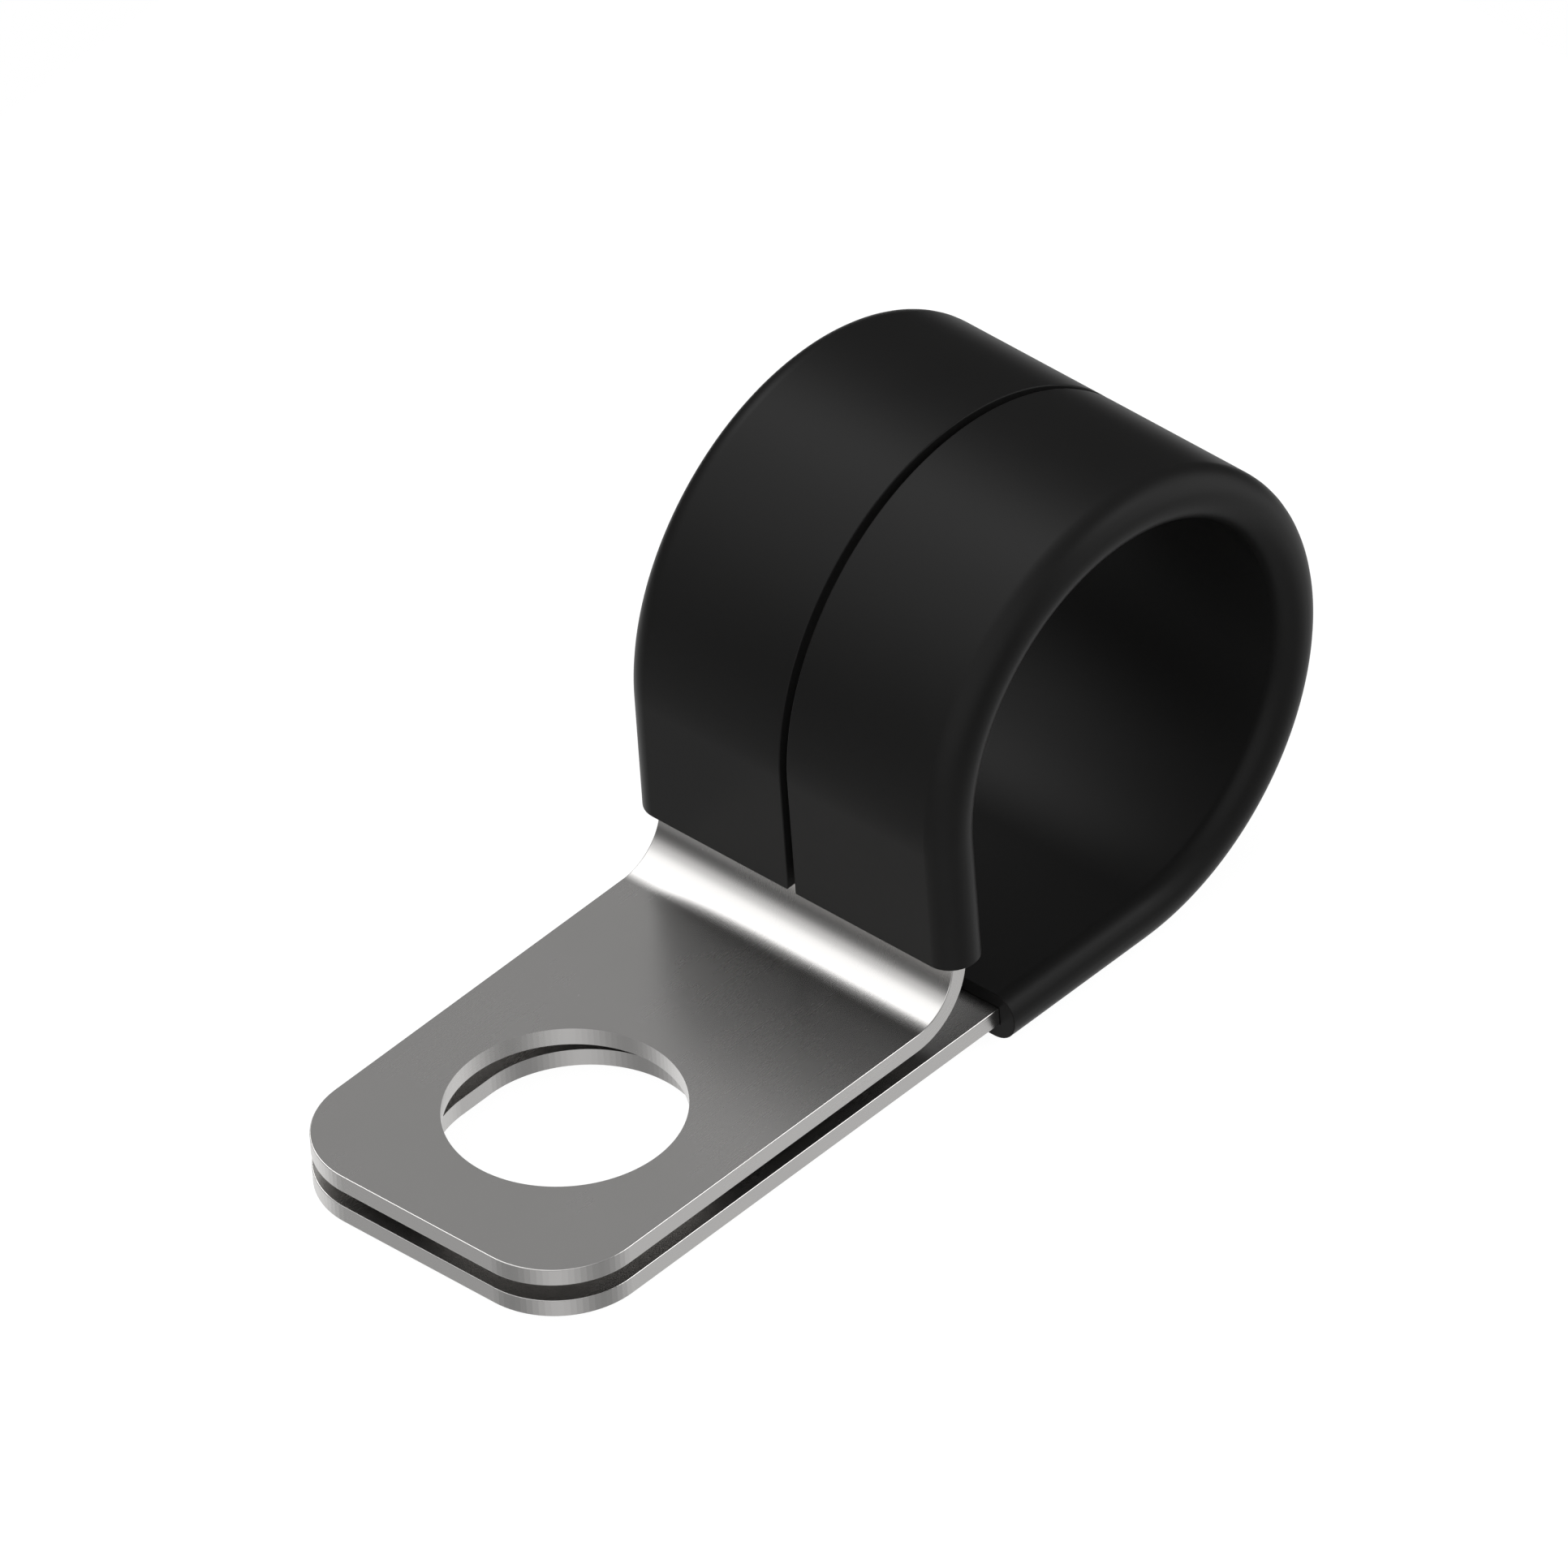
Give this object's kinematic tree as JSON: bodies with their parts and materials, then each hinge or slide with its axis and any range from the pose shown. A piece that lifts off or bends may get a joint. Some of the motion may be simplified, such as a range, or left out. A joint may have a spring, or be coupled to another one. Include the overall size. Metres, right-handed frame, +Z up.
{
  "type": "p clip",
  "caption": "Loop clamp for a cable or hose: folded sheet-steel strip with overlapping drilled tabs, its round loop lined with a slit rubber channel.",
  "frame": {"origin": "centre of the bolt hole on the mounting face, the underside of the lower tab", "axes": "+X from the bolt hole towards the loop, +Y across the strip and along the cable, +Z up from the mounting face along the bolt"},
  "size_m": [0.0356, 0.014, 0.0178],
  "materials": {
    "stainless_strip": "smooth bright stainless sheet",
    "black_rubber": "satin moulded rubber"
  },
  "bodies": {
    "root": {"steel_band": "stainless_strip", "rubber_liner": "black_rubber"}
  },
  "joints": []
}
